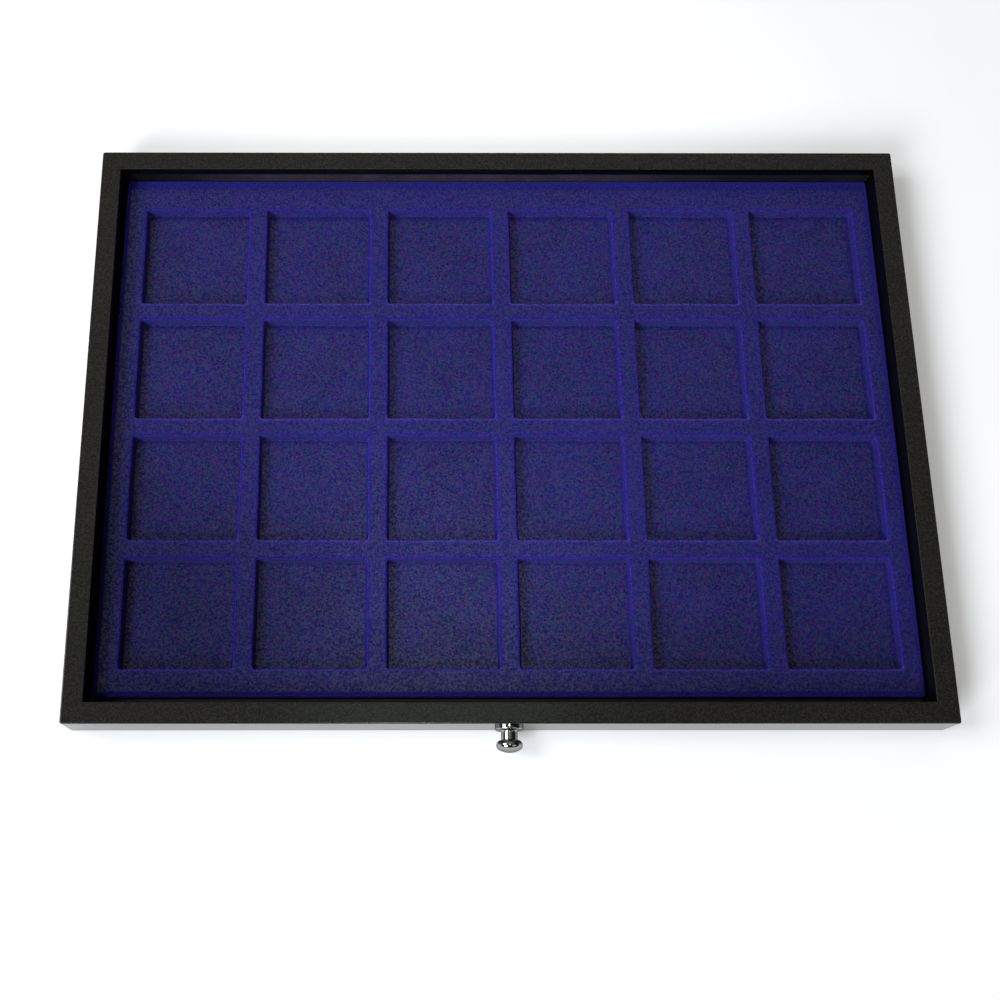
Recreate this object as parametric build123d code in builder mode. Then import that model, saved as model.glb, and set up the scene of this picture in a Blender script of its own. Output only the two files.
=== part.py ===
from build123d import *
from math import atan2, degrees
import os

# Specimen tray: four mitred, lacquered rails round a thin bottom panel, a pressed and
# flocked insert that lies loose on the panel, and a turned knob screwed to the front rail.
# Origin: middle of the footprint on the surface that the tray stands on. X runs along the
# front, Y from front to back, Z up. All sizes in millimetres.

# Pockets of the insert
pocket_columns = 6
pocket_rows = 4
pocket_size = 50.0
pocket_depth = 5.5
pocket_corner_radius = 1.0
rib_width = 8.9

# Insert: the flat border round the pockets and the sheet that it is pressed from
border_left = 10.6
border_right = 9.1
border_front = 12.4
border_back = 16.4
film_thickness = 0.8
film_edge_radius = 0.5
insert_corner_radius = 3.0

# The insert is loose in the frame and lies towards its back right corner
gap_left = 1.5
gap_right = 0.3
gap_front = 3.6
gap_back = 0.4

# Rails
rail_width = 9.5
rim_above_insert = 10.0
arris_radius = 0.6
outer_corner_radius = 1.0

# Bottom panel, let into a rebate under the rails and pinned there
panel_thickness = 3.0
panel_recess = 0.7
rebate_width = 4.5
panel_clearance = 0.3
panel_corner_radius = 1.0

# Pins that hold the panel
pin_diameter = 1.2
pin_length = 10.0
pin_head_diameter = 2.4
pin_head_thickness = 0.4
pin_clearance = 0.05
pins_per_long_side = 4
pins_per_short_side = 3
pin_end_distance = 30.0

# Loose keys glued into blind slots across the mitres
key_thickness = 3.0
key_width = 6.0
key_height = 10.0
key_clearance = 0.1

# Turned knob
flange_diameter = 12.4
flange_thickness = 1.5
flange_edge_radius = 0.6
neck_diameter = 7.2
neck_length = 4.2
neck_cove_radius = 1.0
knob_edge_radius = 2.2
knob_dome_rise = 1.0

# Screw that holds the knob through the front rail
screw_diameter = 4.0
screw_hole_clearance = 0.25
thread_clearance = 0.05
thread_engagement = 5.5
screw_head_diameter = 7.6
screw_head_height = 2.4
screw_head_edge_radius = 1.0
screw_head_clearance = 0.4
screw_head_sunk = 0.6
recess_length = 4.2
recess_width = 0.9
recess_depth = 1.3
tapped_hole_spare = 0.5

# Insert outline
pocket_pitch = pocket_size + rib_width
pattern_width = pocket_columns * pocket_pitch - rib_width
pattern_depth = pocket_rows * pocket_pitch - rib_width
insert_width = border_left + pattern_width + border_right
insert_depth = border_front + pattern_depth + border_back
insert_height = pocket_depth + film_thickness

# Frame outline and levels
inner_width = gap_left + insert_width + gap_right
inner_depth = gap_front + insert_depth + gap_back
tray_width = inner_width + 2 * rail_width
tray_depth = inner_depth + 2 * rail_width
panel_top = panel_recess + panel_thickness
insert_top = panel_top + insert_height
tray_height = insert_top + rim_above_insert

# Places of the loose insert and of its pockets
insert_x = (gap_left - gap_right) / 2
insert_y = (gap_front - gap_back) / 2
pattern_x = insert_x + (border_left - border_right) / 2
pattern_y = insert_y + (border_front - border_back) / 2

# Panel outline and the line of its pins, midway across the part that the rails cover
panel_overlap = rebate_width - panel_clearance
panel_width = inner_width + 2 * panel_overlap
panel_depth = inner_depth + 2 * panel_overlap
pin_line_x = (inner_width + panel_overlap) / 2
pin_line_y = (inner_depth + panel_overlap) / 2

# Keys stand upright in the middle of the mitres, halfway up the rail above the rebate
key_x = tray_width / 2 - rail_width / 2
key_y = tray_depth / 2 - rail_width / 2
key_z = (panel_top + tray_height) / 2

# The knob sits in the middle of the front face
knob_z = tray_height / 2
flange_radius = flange_diameter / 2
neck_radius = neck_diameter / 2
knob_head_centre = flange_thickness + neck_length + knob_edge_radius

# Dome of the knob's head: the sphere that rises above the round edge and is tangent to it
dome_drop = (neck_radius**2 - knob_dome_rise**2) / (2 * knob_dome_rise)
dome_centre = knob_head_centre - dome_drop
dome_radius = dome_drop + knob_dome_rise + knob_edge_radius
dome_angle = degrees(atan2(dome_drop, neck_radius))

# The origin is under the middle of the whole tray with its knob, so the frame lies behind it
knob_length = dome_centre + dome_radius
tray_y = knob_length / 2

# The screw's head lies sunk in the inner face of the front rail
counterbore_depth = screw_head_height + screw_head_sunk
counterbore_radius = screw_head_diameter / 2 + screw_head_clearance
screw_hole_radius = screw_diameter / 2 + screw_hole_clearance
tapped_hole_radius = screw_diameter / 2 + thread_clearance
tapped_hole_depth = thread_engagement + tapped_hole_spare
screw_length = rail_width - counterbore_depth + thread_engagement


def spaced(last, count):
    """Evenly spaced places from -last to last, both included."""
    return [last * (2 * i / (count - 1) - 1) for i in range(count)]


def pin_places():
    """Places of the panel's pins: rows along the front and back, and along both sides."""
    along_x = spaced(inner_width / 2 - pin_end_distance, pins_per_long_side)
    along_y = spaced(inner_depth / 2 - pin_end_distance, pins_per_short_side)
    rows = [(x, side * pin_line_y) for side in (-1, 1) for x in along_x]
    return rows + [(side * pin_line_x, y) for side in (-1, 1) for y in along_y]


def key_places():
    """Place and turn of each key: across the mitre, which runs through the corner at 45 degrees."""
    corners = [(side_x, side_y) for side_x in (-1, 1) for side_y in (-1, 1)]
    return [Location((x * key_x, y * key_y, key_z), (0, 0, 45 * x * y)) for x, y in corners]


def mitre(side_x, side_y):
    """Mitre plane of a corner; its positive side is the front or back rail, the other the side rail."""
    corner = (side_x * tray_width / 2, side_y * tray_depth / 2, 0)
    return Plane(origin=corner, z_dir=(-side_x, side_y, 0))


# Planes across the front rail: out of its front face, and out of its inner face
front_face = Plane(origin=(0, -tray_depth / 2, knob_z), x_dir=(1, 0, 0), z_dir=(0, -1, 0))
inner_face = Plane(origin=(0, -inner_depth / 2, knob_z), x_dir=(-1, 0, 0), z_dir=(0, 1, 0))

# The whole frame before the mitres part it: a ring with the panel's rebate, the pins' holes
# and the keys' slots
with BuildPart() as frame_ring:
    with BuildSketch(Plane.XY):
        RectangleRounded(tray_width, tray_depth, outer_corner_radius)
        Rectangle(inner_width, inner_depth, mode=Mode.SUBTRACT)
    extrude(amount=tray_height)
    fillet(frame_ring.faces().sort_by(Axis.Z)[-1].edges(), radius=arris_radius)
    with BuildSketch(Plane.XY):
        Rectangle(inner_width + 2 * rebate_width, inner_depth + 2 * rebate_width)
    extrude(amount=panel_top, mode=Mode.SUBTRACT)
    with BuildSketch(Plane.XY.offset(panel_top)):
        with Locations(*pin_places()):
            Circle(pin_diameter / 2 + pin_clearance)
    extrude(amount=pin_length - panel_thickness + pin_clearance, mode=Mode.SUBTRACT)
    with Locations(*key_places()):
        Box(
            key_thickness + 2 * key_clearance,
            key_width + 2 * key_clearance,
            key_height + 2 * key_clearance,
            mode=Mode.SUBTRACT,
        )

with BuildPart() as front_rail:
    add(frame_ring)
    split(bisect_by=mitre(-1, -1), keep=Keep.TOP)
    split(bisect_by=mitre(1, -1), keep=Keep.TOP)
    with Locations(inner_face):
        CounterBoreHole(screw_hole_radius, counterbore_radius, counterbore_depth, depth=rail_width)

with BuildPart() as back_rail:
    add(frame_ring)
    split(bisect_by=mitre(-1, 1), keep=Keep.TOP)
    split(bisect_by=mitre(1, 1), keep=Keep.TOP)

with BuildPart() as left_rail:
    add(frame_ring)
    split(bisect_by=mitre(-1, -1), keep=Keep.BOTTOM)
    split(bisect_by=mitre(-1, 1), keep=Keep.BOTTOM)

with BuildPart() as right_rail:
    add(frame_ring)
    split(bisect_by=mitre(1, -1), keep=Keep.BOTTOM)
    split(bisect_by=mitre(1, 1), keep=Keep.BOTTOM)

with BuildPart() as corner_keys:
    with Locations(*key_places()):
        Box(key_thickness, key_width, key_height)

with BuildPart() as bottom_panel:
    with BuildSketch(Plane.XY.offset(panel_recess)):
        RectangleRounded(panel_width, panel_depth, panel_corner_radius)
        with Locations(*pin_places()):
            Circle(pin_diameter / 2 + pin_clearance, mode=Mode.SUBTRACT)
    extrude(amount=panel_thickness)

# Pins are driven up through the panel; their flat heads stay below it
with BuildPart() as panel_pins:
    with BuildSketch(Plane.XY.offset(panel_recess)):
        with Locations(*pin_places()):
            Circle(pin_diameter / 2)
    extrude(amount=pin_length)
    with BuildSketch(Plane.XY.offset(panel_recess)):
        with Locations(*pin_places()):
            Circle(pin_head_diameter / 2)
    extrude(amount=-pin_head_thickness)

# One pressed sheet: the film turns down into each pocket and round the outside, so the
# underside has an open channel behind every rib and border
with BuildPart() as insert_tray:
    with BuildSketch(Plane.XY.offset(panel_top)):
        with Locations((insert_x, insert_y)):
            RectangleRounded(insert_width, insert_depth, insert_corner_radius)
    extrude(amount=insert_height)
    with BuildSketch(Plane.XY.offset(insert_top)):
        with Locations((pattern_x, pattern_y)):
            with GridLocations(pocket_pitch, pocket_pitch, pocket_columns, pocket_rows):
                RectangleRounded(pocket_size, pocket_size, pocket_corner_radius)
    extrude(amount=-pocket_depth, mode=Mode.SUBTRACT)
    fillet(insert_tray.faces().sort_by(Axis.Z)[-1].edges(), radius=film_edge_radius)
    with BuildSketch(Plane.XY.offset(panel_top)):
        with Locations((insert_x, insert_y)):
            RectangleRounded(
                insert_width - 2 * film_thickness,
                insert_depth - 2 * film_thickness,
                insert_corner_radius - film_thickness,
            )
        with Locations((pattern_x, pattern_y)):
            with GridLocations(pocket_pitch, pocket_pitch, pocket_columns, pocket_rows):
                RectangleRounded(
                    pocket_size + 2 * film_thickness,
                    pocket_size + 2 * film_thickness,
                    pocket_corner_radius + film_thickness,
                    mode=Mode.SUBTRACT,
                )
    extrude(amount=pocket_depth, mode=Mode.SUBTRACT)

# Knob: half of its profile, with the radius along X and the length out of the front face.
# The head's round edge is a quarter circle off the neck that runs on into a shallow dome.
knob_plane = Plane(origin=front_face.origin, x_dir=(1, 0, 0), z_dir=(0, 0, -1))
with BuildPart() as knob:
    with BuildSketch(knob_plane) as knob_profile:
        with BuildLine():
            round_edge = CenterArc((neck_radius, knob_head_centre), knob_edge_radius, -90, 90 + dome_angle)
            dome = CenterArc((0, dome_centre), dome_radius, dome_angle, 90 - dome_angle)
            Polyline(
                dome @ 1,
                (0, tapped_hole_depth),
                (tapped_hole_radius, tapped_hole_depth),
                (tapped_hole_radius, 0),
                (flange_radius, 0),
                (flange_radius, flange_thickness),
                (neck_radius, flange_thickness),
                round_edge @ 0,
            )
        make_face()
        cove_corner = knob_profile.vertices().sort_by_distance((neck_radius, flange_thickness))[0]
        fillet(cove_corner, radius=neck_cove_radius)
        rim_corner = knob_profile.vertices().sort_by_distance((flange_radius, flange_thickness))[0]
        fillet(rim_corner, radius=flange_edge_radius)
    revolve(axis=Axis(front_face.origin, front_face.z_dir))

# Screw: pan head with a cross recess, seated on the floor of its counterbore
screw_seat = inner_face.offset(-counterbore_depth)
with BuildPart() as knob_screw:
    with BuildSketch(screw_seat):
        Circle(screw_head_diameter / 2)
    extrude(amount=screw_head_height)
    fillet(knob_screw.edges().sort_by(Axis.Y)[-1], radius=screw_head_edge_radius)
    with BuildSketch(screw_seat):
        Circle(screw_diameter / 2)
    extrude(amount=-screw_length)
    with BuildSketch(screw_seat.offset(screw_head_height)):
        Rectangle(recess_length, recess_width)
        Rectangle(recess_width, recess_length)
    extrude(amount=-recess_depth, mode=Mode.SUBTRACT)

os.makedirs("parts", exist_ok=True)
pieces = {
    "front_rail": front_rail,
    "back_rail": back_rail,
    "left_rail": left_rail,
    "right_rail": right_rail,
    "corner_keys": corner_keys,
    "bottom_panel": bottom_panel,
    "panel_pins": panel_pins,
    "insert_tray": insert_tray,
    "knob": knob,
    "knob_screw": knob_screw,
}
for name, piece in pieces.items():
    placed = Pos(0, tray_y, 0) * piece.part
    placed.label = name
    export_step(placed, f"parts/{name}.step")
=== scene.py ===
"""A black lacquered specimen tray with a chrome knob and a loose insert of blue flocked pockets."""

import math

import bpy
import numpy as np
from mathutils import Matrix, Vector


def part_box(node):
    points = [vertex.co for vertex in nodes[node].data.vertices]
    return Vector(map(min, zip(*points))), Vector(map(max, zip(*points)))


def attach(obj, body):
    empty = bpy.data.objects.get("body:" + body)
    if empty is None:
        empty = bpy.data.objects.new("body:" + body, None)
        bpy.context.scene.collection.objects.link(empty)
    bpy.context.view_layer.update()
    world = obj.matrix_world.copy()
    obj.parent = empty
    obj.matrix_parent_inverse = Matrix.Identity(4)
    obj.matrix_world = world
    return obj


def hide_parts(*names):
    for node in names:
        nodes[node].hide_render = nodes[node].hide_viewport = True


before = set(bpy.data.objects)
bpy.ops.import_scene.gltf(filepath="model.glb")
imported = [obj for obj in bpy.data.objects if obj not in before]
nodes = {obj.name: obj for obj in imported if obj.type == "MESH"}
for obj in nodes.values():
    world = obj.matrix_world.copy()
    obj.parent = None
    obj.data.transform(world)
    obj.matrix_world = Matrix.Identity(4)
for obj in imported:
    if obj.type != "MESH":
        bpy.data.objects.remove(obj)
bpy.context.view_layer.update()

MM = 0.001

# Places in metres, from the boxes of the frame's own nodes.
insert_low, insert_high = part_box("insert_tray")
_, left_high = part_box("left_rail")
right_low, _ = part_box("right_rail")
_, front_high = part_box("front_rail")
back_low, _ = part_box("back_rail")
INNER_LEFT, INNER_RIGHT = left_high.x, right_low.x
INNER_FRONT, INNER_BACK = front_high.y, back_low.y
MIDDLE_Y = (INNER_FRONT + INNER_BACK) / 2
TRAY_TOP = front_high.z
INSERT_TOP, INSERT_FOOT = insert_high.z, insert_low.z

# The insert: pockets in rows and columns, parted by ribs, inside a flat border with a skirt.
COLUMNS, ROWS = 6, 4
POCKET = 50.0 * MM
RIB = 8.9 * MM
PITCH = POCKET + RIB
POCKET_DEPTH = 5.5 * MM
POCKET_CORNER = 1.0 * MM
LEAST_CORNER = 0.4 * MM
BORDER_LEFT, BORDER_FRONT = 10.6 * MM, 12.4 * MM
INSERT_CORNER = 1.6 * MM
FILM = 0.8 * MM
LIP_RADIUS = 0.8 * MM
FLOOR_FILLET = 0.5 * MM
WALL_DRAFT = math.radians(3)
EDGE_RADIUS = 1.1 * MM
SKIRT_RING = 3 * MM

# Stations along the outlines, and the shares of the way at which the flat parts have rings.
CORNER_ANGLES = np.radians(np.linspace(0, 90, 9))
RUN_SHARES = np.linspace(-1, 1, 13)
LIP_STATIONS = 8
RIB_SHARES = (0, 0.45, 0.8)
WALL_SHARES = np.array([1, 2]) / 3
FLOOR_SHARES = (0.985, 0.85, 0.6, 0.3, 0)
BORDER_SHARES = (0, 0.35, 0.7, 1)
EDGE_BENDS = np.radians([18, 36, 54, 72, 90])

# Points that agree to these decimals of a metre are one, and two lengths this close are equal.
WELD_DECIMALS = 7
TINY = 1e-9

# Shares of lip, wall and side: down a lip, round a wall's foot, where the border bends down, and
# over how much of the half pocket the side fades out.
LIP_START, LIP_POWER = 0.15, 0.8
FOOT_WALL = (1, 1, 1, 1, 0.9, 0.5)
EDGE_LIP, EDGE_WALL, BEND_LIP = 0.4, 0.9, 1.3
SIDE_BAND = 0.1

# How uneven the pressed film is, and over what distances.
WANDER, WANDER_LENGTHS = 0.13 * MM, (12 * MM, 40 * MM)
SAG, SAG_LENGTHS = 0.12 * MM, (20 * MM, 70 * MM)
LIFT, LIFT_LENGTHS = 0.08 * MM, (15 * MM, 45 * MM)
STIFF_RIM = 4 * MM
SAG_DEPTH = 2 * MM
FLOOR_INSET = 3 * MM


# ---------------------------------------------------------------- meshes


def mesh_piece(name, points, quads, body, slot_name, **values):
    """A shown piece from points and four-cornered faces.

    Points at one place are joined into one. A face that loses one corner by this becomes a
    triangle, and one that loses more is left out. The values become attributes of the points.
    """
    keys = np.round(points, WELD_DECIMALS)
    _, first, index = np.unique(keys, axis=0, return_index=True, return_inverse=True)
    faces = index.reshape(-1)[quads]
    doubled = faces == np.roll(faces, -1, axis=1)
    lost = doubled.sum(axis=1)
    triangles = faces[lost == 1][~doubled[lost == 1]].reshape(-1, 3)
    mesh = bpy.data.meshes.new(name)
    mesh.from_pydata(points[first].tolist(), [], faces[lost == 0].tolist() + triangles.tolist())
    for value_name, value in values.items():
        layer = mesh.attributes.new(value_name, "FLOAT", "POINT")
        layer.data.foreach_set("value", value[first].astype(np.float32))
    mesh.polygons.foreach_set("use_smooth", [True] * len(mesh.polygons))
    mesh.update()
    piece = bpy.data.objects.new(name, mesh)
    bpy.context.scene.collection.objects.link(piece)
    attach(piece, body)
    return piece


def ring_quads(rings, stations):
    """Faces between neighbouring closed rings, each ring inside or below the one before it."""
    ring, station = np.meshgrid(np.arange(rings - 1), np.arange(stations), indexing="ij")
    after = (station + 1) % stations
    corners = (ring * stations + station, ring * stations + after)
    below = ((ring + 1) * stations + after, (ring + 1) * stations + station)
    return np.stack(corners + below, axis=-1).reshape(-1, 4)


def outline(half_x, half_y, corner, along_x, along_y, square=False):
    """A closed outline, anticlockwise from the front end of its right side.

    Its straight runs have stations at the shares along_x and along_y of half their length. Round
    each corner, a station at angle a lies at corner * (cos a, sin a) from the corner's centre, or,
    on a square outline, where that direction meets the square. The left side repeats the right
    one, and the front the back, each a quarter turn on.
    """
    arc = np.stack([np.cos(CORNER_ANGLES), np.sin(CORNER_ANGLES)], axis=1)
    if square:
        arc = arc / np.abs(arc).max(axis=1, keepdims=True)
    right = (half_x, half_y - corner, along_y)
    back = (half_y, half_x - corner, along_x)
    turns = ((1, 0), (0, 1), (-1, 0), (0, -1))
    quarters = []
    for (near, far, shares), (cos, sin) in zip((right, back, right, back), turns):
        side = np.stack([np.full(len(shares), near), shares * far], axis=1)
        bend = np.array([near - corner, far]) + corner * arc[1:-1]
        quarter = np.concatenate([side, bend])
        quarters.append(quarter @ np.array([[cos, sin], [-sin, cos]]))
    return np.concatenate(quarters)


def waves(points, seed, lengths, count=7):
    """A smooth random field between about -1 and 1: a sum of sine waves that cross the plane."""
    draw = np.random.default_rng(seed)
    turns = draw.uniform(0, 2 * math.pi, count)
    numbers = 2 * math.pi / draw.uniform(lengths[0], lengths[1], count)
    starts = draw.uniform(0, 2 * math.pi, count)
    paths = points[:, :1] * np.cos(turns) + points[:, 1:2] * np.sin(turns)
    return np.sin(paths * numbers + starts).sum(axis=1) / math.sqrt(count * 2)


def pocket_profile():
    """Profile of one pocket, from the rib's flat top over the lip and down the wall to the floor.

    The lip is a quarter circle from flat to the wall's draft, the wall is straight, and a smaller
    quarter circle turns it into the floor. Each row is how far out from the pocket's size, the
    height, the share of lip and the share of wall. The share of lip is the end of a half wave over
    the lip's circle, to a power. The share of wall grows as the square of the way down the lip,
    and fades out round the foot.
    """
    bend = np.linspace(0, math.pi / 2 - WALL_DRAFT, LIP_STATIONS)
    lip_out = LIP_RADIUS * (1 - np.sin(bend))
    lip_height = INSERT_TOP - LIP_RADIUS * (1 - np.cos(bend))
    lip_share = np.sin(np.linspace(LIP_START, 1, LIP_STATIONS) * math.pi) ** LIP_POWER
    lip_wall = np.linspace(0, 1, LIP_STATIONS) ** 2

    turn = np.linspace(math.pi / 2 - WALL_DRAFT, 0, len(FOOT_WALL))
    foot_height = INSERT_TOP - POCKET_DEPTH + FLOOR_FILLET * (1 - np.cos(turn))
    drop = lip_height[-1] - foot_height[0]
    lean = drop * math.tan(WALL_DRAFT)
    foot_out = lip_out[-1] - lean - FLOOR_FILLET * (math.cos(WALL_DRAFT) - np.sin(turn))

    wall_out = lip_out[-1] - lean * WALL_SHARES
    wall_height = lip_height[-1] - drop * WALL_SHARES
    none, whole = np.zeros_like(WALL_SHARES), np.ones_like(WALL_SHARES)
    rows = [
        np.stack([lip_out, lip_height, lip_share, lip_wall], axis=1),
        np.stack([wall_out, wall_height, none, whole], axis=1),
        np.stack([foot_out, foot_height, 0 * foot_out, FOOT_WALL], axis=1),
    ]
    return np.concatenate(rows)


def pocket_cell():
    """One pocket with its half of the ribs round it: points, faces and shares of the points.

    Its rings are the cell's square outline, rings across the rib, the profile's rings, and the
    last of these drawn in to the middle of the floor. The shares are those of lip and of wall, and
    side, which is 1 at the pocket's back wall and -1 at its front wall, fading over a tenth of
    the way to the middle.
    """
    half_cell = PITCH / 2
    reach = half_cell - (POCKET / 2 - POCKET_CORNER)
    outer = outline(half_cell, half_cell, reach, RUN_SHARES, RUN_SHARES, square=True)
    profile = pocket_profile()
    down = []
    for out in profile[:, 0]:
        half, corner = POCKET / 2 + out, max(POCKET_CORNER + out, LEAST_CORNER)
        down.append(outline(half, half, corner, RUN_SHARES, RUN_SHARES))
    across = [outer + (down[0] - outer) * share for share in RIB_SHARES]
    inwards = [down[-1] * share for share in FLOOR_SHARES]
    rings = across + down + inwards
    ends = (len(across), len(inwards))
    heights = np.pad(profile[:, 1], ends, mode="edge")
    shares = np.pad(profile[:, 2:], (ends, (0, 0)))
    points = np.column_stack([np.concatenate(rings), np.repeat(heights, len(outer))])
    from_wall = 1 - np.abs(points[:, 1]) / (POCKET / 2)
    side = np.clip(1 - from_wall / SIDE_BAND, 0, 1) * np.sign(points[:, 1])
    shares = np.column_stack([np.repeat(shares, len(outer), axis=0), side])
    return points, ring_quads(len(rings), len(outer)), shares


def border_and_skirt(centre):
    """The insert's border round the pockets, its rounded outer edge and its skirt down to the foot.

    The inner outline is the pockets' block with half a rib round it; the outer one is a rectangle
    with round corners. A quarter circle turns the border into the upright skirt. Points, faces and
    shares are given as for a pocket's cell, with no side. Round the edge the share of lip goes with
    the sine of twice the bend, and is at most 1.
    """
    half_x, half_y = COLUMNS * PITCH / 2, ROWS * PITCH / 2
    run = POCKET / 2 - POCKET_CORNER
    reach = PITCH / 2 - run
    # Along a side lie the stations of the cells that meet it: each one's straight run, the places
    # where its corners' directions meet the side, and its end.
    bends = run + reach * np.tan(CORNER_ANGLES[(CORNER_ANGLES > 0) & (CORNER_ANGLES < math.pi / 4)])
    cell = np.concatenate([-bends[::-1], RUN_SHARES * run, bends, [PITCH / 2]])
    along = []
    for count, half in ((COLUMNS, half_x), (ROWS, half_y)):
        middles = (np.arange(count) - (count - 1) / 2) * PITCH
        stations = (middles[:, None] + cell).reshape(-1)
        inside = np.abs(stations) <= half - reach + TINY
        along.append(stations[inside] / (half - reach))
    inner = outline(half_x, half_y, reach, *along, square=True) + centre
    low, high = np.array(insert_low)[:2], np.array(insert_high)[:2]

    def outer(inset):
        half = (high - low) / 2 - inset
        return (low + high) / 2 + outline(*half, INSERT_CORNER - inset, *along)

    edge = outer(EDGE_RADIUS)
    border = [inner + (edge - inner) * share for share in BORDER_SHARES]
    rounded = [outer(EDGE_RADIUS * (1 - math.sin(bend))) for bend in EDGE_BENDS]
    rings = border + rounded + [outer(0)] * 2
    drops = EDGE_RADIUS * (1 - np.cos(EDGE_BENDS))
    heights = np.concatenate(
        [[INSERT_TOP] * len(border), INSERT_TOP - drops, [INSERT_TOP - SKIRT_RING, INSERT_FOOT]]
    )
    bent = np.minimum(BEND_LIP * np.sin(EDGE_BENDS * 2), 1)
    lips = np.concatenate([[0, 0, 0, EDGE_LIP], bent, [0, 0]])
    walls = np.array([0, 0, 0, EDGE_WALL] + [1] * (len(rings) - len(border)))
    points = np.column_stack([np.concatenate(rings), np.repeat(heights, len(inner))])
    shares = np.repeat(np.column_stack([lips, walls, 0 * lips]), len(inner), axis=0)
    return points, ring_quads(len(rings), len(inner))[:, ::-1], shares


def make_uneven(points):
    """Moves the points of the pressed film a little, in place, by fields of waves over the plane.

    Walls wander sideways, ribs and border sag, and floors lift. The first two fade out towards
    the insert's outline, the sag also with depth, and the lift grows as the sag fades.
    """
    flat = points[:, :2].copy()
    inset = np.minimum(flat - np.array(insert_low)[:2], np.array(insert_high)[:2] - flat).min(axis=1)
    free = np.clip(inset / STIFF_RIM, 0, 1)
    high = np.clip((points[:, 2] - INSERT_TOP + SAG_DEPTH) / SAG_DEPTH, 0, 1)
    points[:, 0] += free * WANDER * waves(flat, 11, WANDER_LENGTHS)
    points[:, 1] += free * WANDER * waves(flat, 12, WANDER_LENGTHS)
    points[:, 2] += free * high * SAG * (waves(flat, 13, SAG_LENGTHS) - 1)
    floors = (1 - high) * (inset > FLOOR_INSET)
    points[:, 2] += floors * LIFT * (waves(flat, 14, LIFT_LENGTHS) + 1)


def make_insert():
    """The flocked insert: one film pressed into pockets, a little uneven, with a bare underside."""
    block_x = insert_low.x + BORDER_LEFT - RIB / 2 + COLUMNS * PITCH / 2
    block_y = insert_low.y + BORDER_FRONT - RIB / 2 + ROWS * PITCH / 2
    points, quads, shares = border_and_skirt(np.array([block_x, block_y]))
    cell_points, cell_quads, cell_shares = pocket_cell()
    rows, columns = np.meshgrid(np.arange(ROWS), np.arange(COLUMNS), indexing="ij")
    places = np.stack(
        [
            block_x + (columns.reshape(-1) - (COLUMNS - 1) / 2) * PITCH,
            block_y + (rows.reshape(-1) - (ROWS - 1) / 2) * PITCH,
            np.zeros(ROWS * COLUMNS),
        ],
        axis=1,
    )
    starts = len(points) + np.arange(len(places)) * len(cell_points)
    points = np.concatenate([points, (cell_points + places[:, None]).reshape(-1, 3)])
    quads = np.concatenate([quads, (cell_quads + starts[:, None, None]).reshape(-1, 4)])
    shares = np.concatenate([shares, np.tile(cell_shares, (len(places), 1))])
    make_uneven(points)
    insert = mesh_piece(
        "insert_flock", points, quads, "insert", "flock",
        lip=shares[:, 0], wall=shares[:, 1], side=shares[:, 2],
    )
    film = insert.modifiers.new("film", "SOLIDIFY")
    film.thickness = FILM
    film.offset = -1
    film.use_rim = True
    film.material_offset = 1
    film.material_offset_rim = 1
    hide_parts("insert_tray")
    return insert


# ---------------------------------------------------------------- shader helpers


def feed(tree, socket, value):
    """Links an output to a socket, or sets the socket's own value; a colour gets its alpha here."""
    if isinstance(value, bpy.types.NodeSocket):
        tree.links.new(value, socket)
    elif socket.type == "RGBA":
        socket.default_value = (*value, 1)
    else:
        socket.default_value = value


def add(tree, kind, inputs=None, **settings):
    """A node with its settings; inputs maps a socket's name or number to a value or an output."""
    node = tree.nodes.new(kind)
    for name, value in settings.items():
        setattr(node, name, value)
    for name, value in (inputs or {}).items():
        feed(tree, node.inputs[name], value)
    return node


def calc(tree, operation, *values):
    """The output of a maths node on these values."""
    return add(tree, "ShaderNodeMath", dict(enumerate(values)), operation=operation).outputs[0]


def product(tree, result, *values):
    """All these values multiplied, from left to right."""
    for value in values:
        result = calc(tree, "MULTIPLY", result, value)
    return result


def total(tree, result, *values):
    """All these values added, from left to right."""
    for value in values:
        result = calc(tree, "ADD", result, value)
    return result


def ramp(tree, value, low, high, to_low=0.0, to_high=1.0):
    """Smooth step of a value from to_low at low to to_high at high."""
    return add(
        tree,
        "ShaderNodeMapRange",
        {"Value": value, "From Min": low, "From Max": high, "To Min": to_low, "To Max": to_high},
        interpolation_type="SMOOTHSTEP",
    ).outputs["Result"]


def blend(tree, share, first, second):
    """Colour between two, by share."""
    return add(tree, "ShaderNodeMix", {0: share, 6: first, 7: second}, data_type="RGBA").outputs[2]


def noise(tree, place, size, detail=2.0, roughness=0.5):
    """Noise whose grains are about size metres across; size is a number or an output."""
    linked = isinstance(size, bpy.types.NodeSocket)
    scale = calc(tree, "DIVIDE", 1.0, size) if linked else 1 / size
    return add(
        tree,
        "ShaderNodeTexNoise",
        {"Vector": place, "Scale": scale, "Detail": detail, "Roughness": roughness},
    ).outputs["Fac"]


def split(tree, vector):
    """The x, y and z outputs of a vector."""
    return add(tree, "ShaderNodeSeparateXYZ", {0: vector}).outputs


def attribute(tree, name):
    """The output of one of the mesh's own values."""
    return add(tree, "ShaderNodeAttribute", attribute_name=name).outputs["Fac"]


def new_group(name, inputs, outputs):
    """An empty shader group with these sockets, given as name: (type, default)."""
    tree = bpy.data.node_groups.new(name, "ShaderNodeTree")
    for socket_name, (kind, default) in inputs.items():
        socket = tree.interface.new_socket(socket_name, in_out="INPUT", socket_type=kind)
        if default is not None:
            socket.default_value = default
    for socket_name, kind in outputs.items():
        tree.interface.new_socket(socket_name, in_out="OUTPUT", socket_type=kind)
    start, end = tree.nodes.new("NodeGroupInput"), tree.nodes.new("NodeGroupOutput")
    return tree, start.outputs, end.inputs


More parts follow.
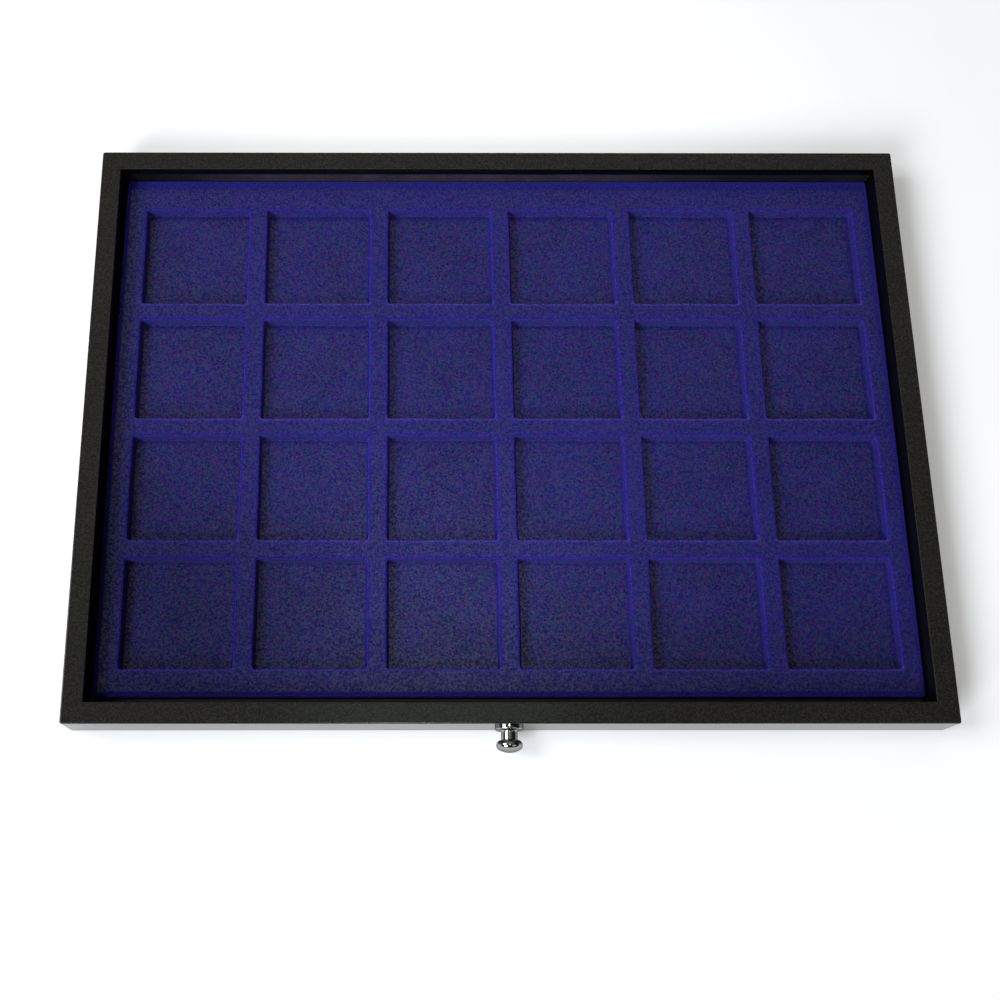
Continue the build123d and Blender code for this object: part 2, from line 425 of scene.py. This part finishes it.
def use(tree, group, **inputs):
    """A group placed in a material; underscores in the input names stand for spaces."""
    node = add(tree, "ShaderNodeGroup", node_tree=group)
    for name, value in inputs.items():
        feed(tree, node.inputs[name.replace("_", " ")], value)
    return node.outputs


FLOAT, VECTOR, COLOUR = "NodeSocketFloat", "NodeSocketVector", "NodeSocketColor"
GRAIN_RANGE = (0.3, 0.7)
SCRATCH_CREST, SCRATCH_PATCH = (0.62, 0.72), (0.45, 0.65)


def make_speckle_group():
    """Speckle: two colours mixed by grains of one size and by softer patches of another."""
    tree, given, out = new_group(
        "speckle",
        {
            "Place": (VECTOR, None),
            "Dark": (COLOUR, (0, 0, 0, 1)),
            "Light": (COLOUR, (1, 1, 1, 1)),
            "Grain Size": (FLOAT, 0.6 * MM),
            "Patch Size": (FLOAT, 20 * MM),
            "Patch Share": (FLOAT, 0.3),
        },
        {"Colour": COLOUR, "Height": FLOAT},
    )
    grain = noise(tree, given["Place"], given["Grain Size"], detail=2.0, roughness=0.6)
    patch = noise(tree, given["Place"], given["Patch Size"], detail=3.0)
    grain_share = calc(tree, "SUBTRACT", 1.0, given["Patch Share"])
    fine = product(tree, ramp(tree, grain, *GRAIN_RANGE), grain_share)
    soft = product(tree, ramp(tree, patch, *GRAIN_RANGE), given["Patch Share"])
    feed(tree, out["Colour"], blend(tree, total(tree, fine, soft), given["Dark"], given["Light"]))
    feed(tree, out["Height"], grain)
    return tree


def make_dust_group():
    """Dust: sparse bright flecks in random cells, and a thin film that gathers in soft patches."""
    tree, given, out = new_group(
        "dust",
        {
            "Place": (VECTOR, None),
            "Fleck Spacing": (FLOAT, 12 * MM),
            "Fleck Radius": (FLOAT, 0.3 * MM),
            "Fleck Share": (FLOAT, 0.2),
            "Film": (FLOAT, 0.1),
        },
        {"Flecks": FLOAT, "Film": FLOAT},
    )
    cells = add(
        tree,
        "ShaderNodeTexVoronoi",
        {"Vector": given["Place"], "Scale": calc(tree, "DIVIDE", 1.0, given["Fleck Spacing"])},
    )
    reach = calc(tree, "DIVIDE", given["Fleck Radius"], given["Fleck Spacing"])
    near = calc(tree, "SUBTRACT", 1.0, calc(tree, "DIVIDE", cells.outputs["Distance"], reach))
    drawn = add(tree, "ShaderNodeSeparateColor", {"Color": cells.outputs["Color"]}).outputs[0]
    chosen = calc(tree, "LESS_THAN", drawn, given["Fleck Share"])
    feed(tree, out["Flecks"], product(tree, ramp(tree, near, 0.0, 0.5), chosen))
    film = noise(tree, given["Place"], 30 * MM, detail=4.0)
    feed(tree, out["Film"], product(tree, film, given["Film"]))
    return tree


def make_scuff_group():
    """Scuffs: fine scratches, from noise drawn out along one direction and kept at its crests."""
    tree, given, out = new_group(
        "scuffs",
        {
            "Place": (VECTOR, None),
            "Stretch": (VECTOR, (30.0, 900.0, 900.0)),
            "Amount": (FLOAT, 0.2),
        },
        {"Mask": FLOAT},
    )
    drawn = add(
        tree, "ShaderNodeVectorMath", {0: given["Place"], 1: given["Stretch"]}, operation="MULTIPLY"
    ).outputs[0]
    lines = ramp(tree, noise(tree, drawn, 1.0, detail=1.0), *SCRATCH_CREST)
    patches = ramp(tree, noise(tree, given["Place"], 35 * MM), *SCRATCH_PATCH)
    feed(tree, out["Mask"], product(tree, lines, patches, given["Amount"]))
    return tree


speckle, dust, scuffs = make_speckle_group(), make_dust_group(), make_scuff_group()


def new_material(name, **values):
    """A material with one Principled shader, whose uniform values are given as for a group.

    Returns the material, its tree, the shader's sockets and the place on the piece.
    """
    material = bpy.data.materials.new(name)
    material.use_nodes = True
    tree = material.node_tree
    tree.nodes.clear()
    shader = add(tree, "ShaderNodeBsdfPrincipled")
    add(tree, "ShaderNodeOutputMaterial", {"Surface": shader.outputs[0]})
    for socket_name, value in values.items():
        feed(tree, shader.inputs[socket_name.replace("_", " ")], value)
    place = add(tree, "ShaderNodeTexCoord").outputs["Object"]
    return material, tree, shader.inputs, place


def relief(tree, sockets, height, depth):
    """Feeds a height, times depth in metres, to the shader's normal."""
    bump = add(tree, "ShaderNodeBump", {"Height": height, "Distance": depth, "Strength": 1.0})
    feed(tree, sockets["Normal"], bump.outputs[0])


# ---------------------------------------------------------------- finishes

# Lacquer, as linear red, green and blue: two tones outside, a darker one inside that is painted shade, a
# lighter band low inside, and what lies on it.
LACQUER_DARK, LACQUER_LIGHT = (0.0035, 0.0035, 0.003), (0.005, 0.0048, 0.0042)
INSIDE_SHADE_BLACK = (0.001, 0.001, 0.001)
PORE_GREY = (0.014, 0.0136, 0.0125)
HAZE_GREY = (0.09, 0.085, 0.075)
LINT_GREY = (0.35, 0.33, 0.3)
LOW_BAND_DARK, LOW_BAND_LIGHT = (0.02, 0.018, 0.02), (0.06, 0.05, 0.066)

# Where its masks change, in metres: depth into a rail, heights, and places along the tray where the low
# band's painted light fades.
INNER_FADE = (0.3 * MM, 0.55 * MM)
TOP_FADE = (TRAY_TOP - 0.25 * MM, TRAY_TOP - 0.05 * MM)
LOW_BAND_FADE = (INSERT_TOP + 5.0 * MM, INSERT_TOP + 6.2 * MM)
LOW_BAND_RAGGED = 0.8 * MM
BAND_LIGHT_LEFT, BAND_LIGHT_RIGHT = (-170 * MM, -100 * MM), (30 * MM, 125 * MM)

# Its roughness: the least one, and what the top, the inside, scuffs and patches add to it.
SATIN, ROUGH_TOP, ROUGH_INSIDE, ROUGH_SCUFFS, ROUGH_PATCHES = 0.04, 0.06, 0.4, 0.3, 0.05
GLOSS_OUTSIDE, GLOSS_INSIDE, GLOSS_TOP = 0.35, 0.1, 0.15
PORE_RANGE, HAZE_RANGE = (0.4, 0.62), (0.42, 0.62)

# Flock, in linear colours too: its pile, the casts of its grains, and painted light and sheen on crowns,
# walls and lips.
PILE_DARK, PILE_LIGHT = (0.001, 0.001, 0.03), (0.013, 0.011, 0.19)
PURPLE_CAST, GREEN_CAST = (0.04, 0.004, 0.12), (0.003, 0.03, 0.10)
CROWN_LIGHT_BLUE = (0.012, 0.010, 0.2)
LIT_BACK_WALL_DARK, LIT_BACK_WALL_LIGHT = (0.014, 0.014, 0.105), (0.04, 0.039, 0.21)
WALL_SHEEN_BLUE = (0.02, 0.018, 0.22)
LIP_SHEEN_BLUE, FRONT_LIP_HIGHLIGHT_BLUE = (0.036, 0.02, 0.34), (0.09, 0.07, 0.42)
FILM_DUST, LINT_BLUE = (0.12, 0.12, 0.2), (0.35, 0.4, 0.6)
SHEEN_LILAC = (0.85, 0.75, 1.0)
GRAIN_SHIFT = (0.31, 0.17, 0.23)
CAST_RANGE, TUFT_RANGE, NAP_RANGE = (0.48, 0.7), (0.35, 0.6), (0.35, 0.65)

# Where painted light and shade on the pile change, in metres: heights for the crowns' light, and ways from
# the front left corner and places in y for the shade.
CROWN_LIGHT_FADE = (INSERT_TOP - 2.5 * MM, INSERT_TOP - 0.2 * MM)
CORNER_SHADE_FADE = (45 * MM, 165 * MM)
FRONT_SHADE_FADE = (insert_low.y + 20 * MM, insert_low.y + 50 * MM)

# Grain over which the plain finishes pass from smooth to rough.
MOTTLE_RANGE = (0.2, 0.8)


def lacquer_masks(tree, x, y, z, uneven):
    """Where the lacquer is inside the tray, on its top face, and in a lighter band low on the front and
    back rails inside.

    A point's depths into the side rails and into the front and back rails are measured from the
    tray's inner faces. A point is inside where the larger depth is about zero. A lighter, grained band
    lies low on the inner faces of the front and back rails; its strength is painted light, strongest a
    little left of the middle and weaker towards the tray's left and right. The last output tells the side
    rails from the others.
    """
    half_x, half_y = (INNER_RIGHT - INNER_LEFT) / 2, (INNER_BACK - INNER_FRONT) / 2
    from_middle = calc(tree, "ABSOLUTE", calc(tree, "SUBTRACT", y, MIDDLE_Y))
    into_side = calc(tree, "SUBTRACT", calc(tree, "ABSOLUTE", x), half_x)
    into_end = calc(tree, "SUBTRACT", from_middle, half_y)
    into_rail = calc(tree, "MAXIMUM", into_side, into_end)
    inside = ramp(tree, into_rail, *INNER_FADE, to_low=1.0, to_high=0.0)
    top = ramp(tree, z, *TOP_FADE)
    ragged = total(tree, z, product(tree, uneven, LOW_BAND_RAGGED))
    low = ramp(tree, ragged, *LOW_BAND_FADE, to_low=1.0, to_high=0.0)
    on_end = ramp(tree, calc(tree, "SUBTRACT", into_end, into_side), 0.0, 0.2 * MM)
    # Painted light along the band: strongest a little left of the middle, weaker towards the left and
    # right.
    band_light_from_left = ramp(tree, x, *BAND_LIGHT_LEFT, to_low=0.2, to_high=0.95)
    band_light_to_right = ramp(tree, x, *BAND_LIGHT_RIGHT, to_low=1.0, to_high=0.3)
    low_band = product(tree, inside, low, on_end, product(tree, band_light_from_left, band_light_to_right))
    return inside, top, low_band, calc(tree, "GREATER_THAN", into_side, into_end)


def lacquer_material():
    """Black lacquer: satin and finely pored on top, glossier outside, dull and darkened with painted shade
    on the inside.
    """
    material, tree, sockets, place = new_material("black_lacquer", IOR=1.5)
    x, y, z = split(tree, place)
    uneven = noise(tree, place, 25 * MM, detail=3.0)
    inside, top, low_band, on_side = lacquer_masks(tree, x, y, z, uneven)
    turned = add(tree, "ShaderNodeCombineXYZ", {0: y, 1: x, 2: z}).outputs[0]
    along = add(
        tree, "ShaderNodeMix", {0: on_side, 4: place, 5: turned}, data_type="VECTOR"
    ).outputs[1]
    marks = use(tree, scuffs, Place=along, Stretch=(40.0, 900.0, 900.0), Amount=0.12)["Mask"]
    specks = use(
        tree, dust, Place=place, Fleck_Spacing=9 * MM, Fleck_Radius=0.35 * MM, Fleck_Share=0.05,
        Film=0.08,
    )
    fibres = use(
        tree, speckle, Place=place, Dark=LOW_BAND_DARK, Light=LOW_BAND_LIGHT, Grain_Size=0.6 * MM,
        Patch_Size=12 * MM, Patch_Share=0.35,
    )
    grain = noise(tree, place, 0.75 * MM, detail=3.0, roughness=0.8)
    pores = ramp(tree, grain, *PORE_RANGE)
    haze = product(tree, specks["Film"], ramp(tree, grain, *HAZE_RANGE, to_high=2.0))

    coat = blend(tree, noise(tree, place, 60 * MM), LACQUER_DARK, LACQUER_LIGHT)
    # Painted shade: the inside of the tray is darker.
    coat = blend(tree, inside, coat, INSIDE_SHADE_BLACK)
    # The lighter, grained band low on the inner faces of the front and back rails.
    coat = blend(tree, low_band, coat, fibres["Colour"])
    coat = blend(tree, product(tree, pores, top), coat, PORE_GREY)
    coat = blend(tree, product(tree, haze, top), coat, HAZE_GREY)
    coat = blend(tree, product(tree, specks["Flecks"], 0.7), coat, LINT_GREY)
    feed(tree, sockets["Base Color"], coat)

    faces = total(tree, product(tree, top, ROUGH_TOP), SATIN, product(tree, inside, ROUGH_INSIDE))
    wear = (product(tree, marks, ROUGH_SCUFFS), product(tree, uneven, ROUGH_PATCHES))
    feed(tree, sockets["Roughness"], total(tree, faces, *wear))
    gloss = ramp(tree, inside, 0.0, 1.0, to_low=GLOSS_OUTSIDE, to_high=GLOSS_INSIDE)
    feed(tree, sockets["Specular IOR Level"], total(tree, gloss, product(tree, top, GLOSS_TOP)))
    peel = noise(tree, place, 4 * MM)
    relief(tree, sockets, calc(tree, "SUBTRACT", peel, marks), depth=0.02 * MM)
    return material


def flock_pile(tree, place, shifted, z):
    """The pile's own colour and height: blue fibres, made paler towards the crowns of the ribs by painted
    light.

    Grains of a purple and of a green cast lie among the blue ones, as fibres lean different ways.
    """
    fibre = use(
        tree, speckle, Place=place, Dark=PILE_DARK, Light=PILE_LIGHT, Grain_Size=0.9 * MM,
        Patch_Size=22 * MM, Patch_Share=0.25,
    )
    body = fibre["Colour"]
    for where, cast in ((place, PURPLE_CAST), (shifted, GREEN_CAST)):
        leaning = noise(tree, where, 1.0 * MM, detail=1.0)
        body = blend(tree, ramp(tree, leaning, *CAST_RANGE, to_high=0.9), body, cast)
    # Painted light: the pile is paler towards the crowns of the ribs.
    crown_light = ramp(tree, z, *CROWN_LIGHT_FADE, to_high=0.18)
    return blend(tree, crown_light, body, CROWN_LIGHT_BLUE), fibre["Height"]


def flock_on_slopes(tree, place, body, lip, steep, side):
    """Painted sheen and light on the walls and lips of the pile.

    Walls are painted paler as sheen, and back walls, which face the light from the front, paler and greyer
    still, in tufts. Lips get a bright painted sheen, and the lips at the front of the pockets a brighter
    painted highlight.
    """
    tufts = ramp(tree, noise(tree, place, 0.9 * MM), *TUFT_RANGE, to_low=0.2)
    back = ramp(tree, side, 0.0, 1.0)
    # Painted sheen on the walls, and painted light on the back walls, which face the front light.
    wall = blend(tree, back, WALL_SHEEN_BLUE, blend(tree, tufts, LIT_BACK_WALL_DARK, LIT_BACK_WALL_LIGHT))
    wall_sheen_share = product(tree, steep, ramp(tree, side, 0.0, 1.0, to_low=0.3, to_high=0.75))
    body = blend(tree, wall_sheen_share, body, wall)
    # Painted sheen on the lips, and a brighter painted highlight on the lips at the front of the pockets.
    lip_sheen_share = product(tree, lip, tufts, ramp(tree, side, 0.0, 1.0, to_low=1.0, to_high=0.8))
    body = blend(tree, lip_sheen_share, body, LIP_SHEEN_BLUE)
    front_lip_highlight_share = product(tree, lip_sheen_share, ramp(tree, side, -1.0, -0.2, to_low=0.7, to_high=0.0))
    return blend(tree, front_lip_highlight_share, body, FRONT_LIP_HIGHLIGHT_BLUE)


def flock_material():
    """Blue flock: short fibres with a soft gloss, broken by their nap and absent on the slopes.

    Painted shade darkens the pile in the insert's front left corner and along its front edge, and takes
    the gloss off that corner.
    """
    material, tree, sockets, place = new_material(
        "blue_flock", IOR=1.45, Sheen_Weight=0.04, Sheen_Roughness=0.5, Sheen_Tint=SHEEN_LILAC,
        Specular_IOR_Level=0.0, Coat_IOR=1.75, Coat_Roughness=0.25,
    )
    _, y, z = split(tree, place)
    lip, steep, side = (attribute(tree, name) for name in ("lip", "wall", "side"))
    shifted = add(
        tree, "ShaderNodeVectorMath", {0: place, 1: GRAIN_SHIFT}, operation="ADD"
    ).outputs[0]
    body, height = flock_pile(tree, place, shifted, z)
    body = flock_on_slopes(tree, place, body, lip, steep, side)
    specks = use(
        tree, dust, Place=place, Fleck_Spacing=30 * MM, Fleck_Radius=0.45 * MM, Fleck_Share=0.12,
        Film=0.02,
    )
    body = blend(tree, specks["Film"], body, FILM_DUST)
    body = blend(tree, specks["Flecks"], body, LINT_BLUE)

    # Painted shade: the pile is darker towards the front left corner and towards the front edge.
    front_left = (insert_low.x, insert_low.y, INSERT_TOP)
    from_corner = add(
        tree, "ShaderNodeVectorMath", {0: place, 1: front_left}, operation="DISTANCE"
    ).outputs["Value"]
    corner_shade = ramp(tree, from_corner, *CORNER_SHADE_FADE, to_low=0.4, to_high=0.0)
    edge = ramp(tree, y, *FRONT_SHADE_FADE, to_low=0.22, to_high=0.0)
    body = blend(tree, calc(tree, "MAXIMUM", corner_shade, edge), body, (0.0, 0.0, 0.0))
    feed(tree, sockets["Base Color"], body)

    nap = ramp(tree, noise(tree, shifted, 0.9 * MM), *NAP_RANGE, to_low=0.15)
    level = ramp(tree, calc(tree, "MAXIMUM", steep, lip), 0.0, 0.7, to_low=1.0, to_high=0.0)
    # The corner's painted shade also takes away the gloss.
    outside_corner_shade = calc(tree, "SUBTRACT", 1.0, corner_shade)
    feed(tree, sockets["Coat Weight"], product(tree, nap, level, outside_corner_shade))
    pile = noise(tree, place, 0.35 * MM, roughness=0.7)
    relief(tree, sockets, total(tree, pile, height), depth=0.3 * MM)
    return material


def film_material():
    """Bare underside of the pressed film: dark blue plastic with a fine haze."""
    material, tree, sockets, place = new_material("bare_film", IOR=1.5)
    grain = use(
        tree, speckle, Place=place, Dark=(0.006, 0.006, 0.02), Light=(0.01, 0.01, 0.035),
        Grain_Size=1.5 * MM, Patch_Size=25 * MM, Patch_Share=0.5,
    )
    feed(tree, sockets["Base Color"], grain["Colour"])
    feed(tree, sockets["Roughness"], ramp(tree, grain["Height"], *MOTTLE_RANGE, to_low=0.32, to_high=0.5))
    relief(tree, sockets, grain["Height"], depth=0.03 * MM)
    return material


def chrome_material():
    """Polished chrome: bright, a touch cool, with faint turning marks and finger haze."""
    material, tree, sockets, place = new_material(
        "polished_chrome", Metallic=1.0, Specular_Tint=(0.3, 0.3, 0.3)
    )
    dark, light = (0.32, 0.33, 0.33), (0.38, 0.39, 0.39)
    haze = noise(tree, place, 3 * MM)
    feed(tree, sockets["Base Color"], blend(tree, haze, dark, light))
    marks = use(tree, scuffs, Place=place, Stretch=(900.0, 120.0, 900.0), Amount=0.4)["Mask"]
    rough = total(tree, product(tree, marks, 0.15), 0.05, product(tree, haze, 0.05))
    feed(tree, sockets["Roughness"], rough)
    relief(tree, sockets, marks, depth=0.01 * MM)
    return material


def steel_material(name, dark, light, roughness):
    """Plated steel of a small fastener: drawn lines and a slight mottle."""
    material, tree, sockets, place = new_material(name, Metallic=1.0)
    mottle = use(
        tree, speckle, Place=place, Dark=dark, Light=light, Grain_Size=0.4 * MM,
        Patch_Size=2 * MM, Patch_Share=0.5,
    )
    feed(tree, sockets["Base Color"], mottle["Colour"])
    marks = use(tree, scuffs, Place=place, Stretch=(1500.0, 1500.0, 200.0), Amount=1.0)["Mask"]
    feed(tree, sockets["Roughness"], total(tree, product(tree, marks, 0.2), roughness))
    relief(tree, sockets, mottle["Height"], depth=0.01 * MM)
    return material


# Scale of the waves across the plies, at which a pale and a dark ply take about 0.4 mm.
PLY_WAVES = 800.0


def plywood_material():
    """Plywood of the keys: pale plies with fine pores, seen only when the frame is apart."""
    material, tree, sockets, place = new_material("plywood", IOR=1.5)
    plies = add(
        tree, "ShaderNodeTexWave", {"Vector": place, "Scale": PLY_WAVES, "Distortion": 1.5},
        bands_direction="Z",
    ).outputs["Fac"]
    grain = use(
        tree, speckle, Place=place, Dark=(0.34, 0.2, 0.1), Light=(0.62, 0.44, 0.26),
        Grain_Size=0.4 * MM, Patch_Size=4 * MM, Patch_Share=0.5,
    )
    wood = blend(tree, product(tree, plies, 0.4), grain["Colour"], (0.3, 0.17, 0.08))
    feed(tree, sockets["Base Color"], wood)
    feed(tree, sockets["Roughness"], ramp(tree, grain["Height"], *MOTTLE_RANGE, to_low=0.6, to_high=0.85))
    relief(tree, sockets, grain["Height"], depth=0.05 * MM)
    return material


def board_material():
    """Black faced hardboard of the bottom: pressed fibres and a dull face."""
    material, tree, sockets, place = new_material("faced_hardboard", IOR=1.5)
    fibres = use(
        tree, speckle, Place=place, Dark=(0.003, 0.003, 0.003), Light=(0.012, 0.011, 0.01),
        Grain_Size=1.2 * MM, Patch_Size=15 * MM, Patch_Share=0.4,
    )
    specks = use(
        tree, dust, Place=place, Fleck_Spacing=11 * MM, Fleck_Radius=0.4 * MM, Fleck_Share=0.15,
        Film=0.02,
    )
    face = blend(tree, specks["Film"], fibres["Colour"], (0.12, 0.11, 0.1))
    face = blend(tree, specks["Flecks"], face, (0.3, 0.28, 0.25))
    feed(tree, sockets["Base Color"], face)
    feed(tree, sockets["Roughness"], ramp(tree, fibres["Height"], *MOTTLE_RANGE, to_low=0.5, to_high=0.75))
    relief(tree, sockets, fibres["Height"], depth=0.08 * MM)
    return material


def paint(piece, *materials):
    """Gives a piece these materials in its slots."""
    piece.data.materials.clear()
    for material in materials:
        piece.data.materials.append(material)


lacquer = lacquer_material()
insert = make_insert()
paint(insert, flock_material(), film_material())
for rail in ("front_rail", "back_rail", "left_rail", "right_rail"):
    paint(nodes[rail], lacquer)
paint(nodes["knob"], chrome_material())
paint(
    nodes["knob_screw"],
    steel_material("screw_plating", dark=(0.42, 0.42, 0.42), light=(0.6, 0.6, 0.6), roughness=0.28),
)
paint(
    nodes["panel_pins"],
    steel_material("pin_wire", dark=(0.3, 0.3, 0.31), light=(0.5, 0.5, 0.5), roughness=0.35),
)
paint(nodes["corner_keys"], plywood_material())
paint(nodes["bottom_panel"], board_material())


# ---------------------------------------------------------------- floor, light and camera

FLOOR_HALF, FLOOR_DROP = 6.0, 0.1 * MM
PAPER_DARK, PAPER_LIGHT = (0.88, 0.88, 0.88), (0.91, 0.91, 0.91)
WARM_WHITE, DAYLIGHT, LAMP_GREEN = (1.0, 0.96, 0.86), (0.92, 0.95, 1.0), (0.7, 1.0, 0.82)
BRIGHT_SIDE = (-0.35, 0.6, 0.72)
SKY_SPREAD, HORIZON_FADE = (0.3, 1.0), (0.06, 0.26)

# The camera: its lens in the pixels of a square frame, its place in metres, its turns in radians.
FRAME_PIXELS, LENS_PIXELS = 1000, 1356.7
SENSOR = 36.0
FRAME_SHIFT = 0.09375
CAMERA_PLACE = (-46.4 * MM, -219.5 * MM, 599.4 * MM)
HEADING, TILT, ROLL = -0.01003, 0.31038, 0.00987


def make_floor():
    """A pale, matt surface just under the tray, far wider than the view."""
    corners = [(-1, -1), (1, -1), (1, 1), (-1, 1)]
    mesh = bpy.data.meshes.new("floor")
    mesh.from_pydata(
        [(x * FLOOR_HALF, y * FLOOR_HALF, -FLOOR_DROP) for x, y in corners], [], [(0, 1, 2, 3)]
    )
    floor = bpy.data.objects.new("floor", mesh)
    bpy.context.scene.collection.objects.link(floor)
    material, tree, sockets, place = new_material(
        "pale_paper", Roughness=0.9, Emission_Color=(1, 1, 1), Emission_Strength=0.25
    )
    tone = noise(tree, place, 40 * MM, detail=3.0)
    feed(tree, sockets["Base Color"], blend(tree, tone, PAPER_DARK, PAPER_LIGHT))
    paint(floor, material)


def place_lamp(light, place, aim):
    """Puts a light at a place, shining towards aim."""
    lamp = bpy.data.objects.new(light.name, light)
    bpy.context.scene.collection.objects.link(lamp)
    lamp.location = place
    lamp.rotation_euler = (Vector(place) - Vector(aim)).to_track_quat("Z", "Y").to_euler()


def area_light(name, place, size, watts, colour=(1, 1, 1)):
    """A square soft light at a place, turned towards the tray."""
    light = bpy.data.lights.new(name, "AREA")
    light.shape = "SQUARE"
    light.size = size
    light.energy = watts
    light.color = colour
    place_lamp(light, place, aim=(0, 0, 0))


def spot_light(name, place, aim, degrees, radius, watts):
    """A round soft-edged beam from a place towards aim."""
    light = bpy.data.lights.new(name, "SPOT")
    light.spot_size = math.radians(degrees)
    light.spot_blend = 1.0
    light.shadow_soft_size = radius
    light.energy = watts
    place_lamp(light, place, aim)


def make_world(dim, bright, horizon):
    """Warm white surroundings: bright above the left and the back, dim elsewhere, pale low down.

    The strength grows with the direction's part along the bright side, and is at least the
    horizon's, which fades out upwards.
    """
    world = bpy.data.worlds.new("studio")
    bpy.context.scene.world = world
    world.use_nodes = True
    tree = world.node_tree
    direction = add(tree, "ShaderNodeTexCoord").outputs["Generated"]
    towards = add(
        tree, "ShaderNodeVectorMath", {0: direction, 1: BRIGHT_SIDE}, operation="DOT_PRODUCT"
    ).outputs["Value"]
    up = split(tree, direction)[2]
    sky = ramp(tree, towards, *SKY_SPREAD, to_low=dim, to_high=bright)
    low = ramp(tree, up, *HORIZON_FADE, to_low=horizon, to_high=0.0)
    background = tree.nodes["Background"].inputs
    feed(tree, background["Strength"], calc(tree, "MAXIMUM", sky, low))
    feed(tree, background["Color"], WARM_WHITE)


def make_camera():
    """The view from above the front, steep, and a little to the left."""
    data = bpy.data.cameras.new("camera")
    data.sensor_width = SENSOR
    data.lens = LENS_PIXELS / FRAME_PIXELS * SENSOR
    data.shift_x = FRAME_SHIFT
    data.clip_start = 10 * MM
    camera = bpy.data.objects.new("camera", data)
    bpy.context.scene.collection.objects.link(camera)
    turn = (
        Matrix.Rotation(HEADING, 4, "Z") @ Matrix.Rotation(TILT, 4, "X") @ Matrix.Rotation(ROLL, 4, "Z")
    )
    camera.matrix_world = Matrix.Translation(CAMERA_PLACE) @ turn
    bpy.context.scene.camera = camera


make_floor()
make_world(dim=0.02, bright=0.3, horizon=0.5)
# Two windows on the left, a pale wall on the right, a lamp above, and beams from above the front.
area_light("window_side", place=(-3.0, 0.0, 2.95), size=2.1, watts=90, colour=DAYLIGHT)
area_light("window_front", place=(-1.9, -2.6, 2.1), size=1.6, watts=110, colour=DAYLIGHT)
area_light("wall_right", place=(1.0, -1.1, 1.2), size=1.0, watts=2.5)
area_light("ceiling_lamp", place=(0.03, 0.42, 2.5), size=0.6, watts=0.32, colour=LAMP_GREEN)
spot_light(
    "camera_side", place=(-0.06, -0.22, 0.72), aim=(-0.02, 0.08, 0), degrees=33, radius=0.04, watts=7.0
)
spot_light(
    "front_glow", place=(-0.046, -0.22, 0.72), aim=(-0.045, -0.085, 0), degrees=10, radius=0.1, watts=6.5
)
make_camera()
bpy.context.scene.view_settings.view_transform = "Standard"
